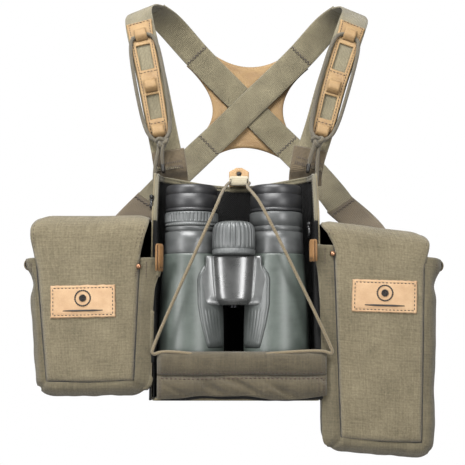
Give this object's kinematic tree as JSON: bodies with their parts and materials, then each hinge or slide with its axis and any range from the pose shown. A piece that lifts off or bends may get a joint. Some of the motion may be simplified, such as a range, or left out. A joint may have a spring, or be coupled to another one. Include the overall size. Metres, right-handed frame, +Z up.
{
  "type": "binocular harness pack",
  "caption": "Canvas chest cradle holding a roof-prism binocular under an elastic retainer, flanked by two lidded pouches and worn on a crossed webbing shoulder harness.",
  "frame": {"origin": "middle of the back panel's rear face, which lies on the wearer's chest", "axes": "+Z up along the wearer's chest, +Y towards the wearer, +X to the right as seen from the front"},
  "size_m": [0.3312, 0.1465, 0.3917],
  "materials": {
    "canvas": "dense waxed duck canvas",
    "binding": "folded grosgrain binding",
    "black_lining": "black brushed tricot",
    "leather": "vegetable tanned, stitched",
    "webbing": "flat nylon webbing",
    "brown_elastic": "ribbed woven elastic",
    "cord": "braided cord",
    "rivet": "antique",
    "hook_plastic": "moulded",
    "armour": "satin rubber armour",
    "bridge_plastic": "glossy moulded",
    "grip_rubber": "ribbed",
    "cup_rubber": "smooth satin",
    "axle_steel": "ground",
    "glass": "coated"
  },
  "bodies": {
    "root": {"back_panel": "canvas", "left_cradle_wall": "canvas", "right_cradle_wall": "canvas", "cradle_lining": "black_lining", "cradle_floor": "canvas", "left_rim_binding": "binding", "right_rim_binding": "binding", "left_pouch": "canvas", "right_pouch": "canvas", "left_pouch_lining": "black_lining", "right_pouch_lining": "black_lining", "left_label": "leather", "right_label": "leather", "left_gusset_tab": "leather", "right_gusset_tab": "leather", "left_corner_loop": "brown_elastic", "right_corner_loop": "brown_elastic", "left_rivet": "rivet", "right_rivet": "rivet", "left_mount_webbing": "webbing", "right_mount_webbing": "webbing", "left_cradle_hook": "hook_plastic", "right_cradle_hook": "hook_plastic", "left_shoulder_strap": "webbing", "right_shoulder_strap": "webbing", "cross_strap_under": "webbing", "cross_strap_over": "webbing", "back_patch": "leather", "left_side_elastic": "brown_elastic", "right_side_elastic": "brown_elastic", "left_base_elastic": "brown_elastic", "right_base_elastic": "brown_elastic", "left_ladder_strip": "leather", "right_ladder_strip": "leather", "left_ladder_loops": "leather", "right_ladder_loops": "leather", "left_tether_cord": "cord", "right_tether_cord": "cord", "left_tether_knot": "cord", "right_tether_knot": "cord"},
    "cuff": {"front_cuff": "canvas", "cuff_lining": "black_lining"},
    "retainer": {"retainer_cord": "cord", "pull_tab": "leather", "tab_band": "leather"},
    "left_lid": {"left_lid": "canvas"},
    "right_lid": {"right_lid": "canvas"},
    "binocular": {"left_barrel": "armour", "right_barrel": "armour", "bridge": "bridge_plastic", "hinge_axle": "axle_steel", "thumb_pads": "grip_rubber", "objective_lenses": "glass", "ocular_lenses": "glass", "prisms": "glass"},
    "focus_wheel": {"focus_wheel": "grip_rubber"},
    "dioptre_ring": {"dioptre_ring": "grip_rubber"},
    "left_eyecup": {"left_eyecup": "cup_rubber"},
    "right_eyecup": {"right_eyecup": "cup_rubber"}
  },
  "joints": [
    {"name": "binocular_lift", "type": "slide", "parent": "root", "child": "binocular", "axis": [0, 0, 1], "range_m": [0, 0.12]},
    {"name": "cuff_fold", "type": "hinge", "parent": "root", "child": "cuff", "pos_m": [0, -0.0715, -0.0915], "axis": [1, 0, 0], "range_deg": [0, 75]},
    {"name": "retainer_swing", "type": "hinge", "parent": "cuff", "child": "retainer", "pos_m": [0, -0.06775, -0.0515], "axis": [1, 0, 0], "range_deg": [0, 150]},
    {"name": "left_lid_hinge", "type": "hinge", "parent": "root", "child": "left_lid", "pos_m": [-0.115, -0.066, 0.0206], "axis": [1, 0, 0], "range_deg": [0, 150]},
    {"name": "right_lid_hinge", "type": "hinge", "parent": "root", "child": "right_lid", "pos_m": [0.1146, -0.066, 0.0256], "axis": [0.9918, 0, -0.128], "range_deg": [0, 150]},
    {"name": "focus_turn", "type": "hinge", "parent": "binocular", "child": "focus_wheel", "pos_m": [-0.001, -0.054, 0.037], "axis": [0, 0, 1], "range_deg": [-180, 180]},
    {"name": "dioptre_turn", "type": "hinge", "parent": "binocular", "child": "dioptre_ring", "pos_m": [-0.0355, -0.034, 0.052], "axis": [0, 0, 1], "range_deg": [-40, 40]},
    {"name": "left_eyecup_slide", "type": "slide", "parent": "binocular", "child": "left_eyecup", "axis": [0, 0, 1], "range_m": [0, 0.008]},
    {"name": "right_eyecup_slide", "type": "slide", "parent": "binocular", "child": "right_eyecup", "axis": [0, 0, 1], "range_m": [0, 0.008]}
  ],
  "couplings": [
    {"joint": "retainer_swing", "follows": "binocular_lift", "rad_per_m": 21.8}
  ]
}
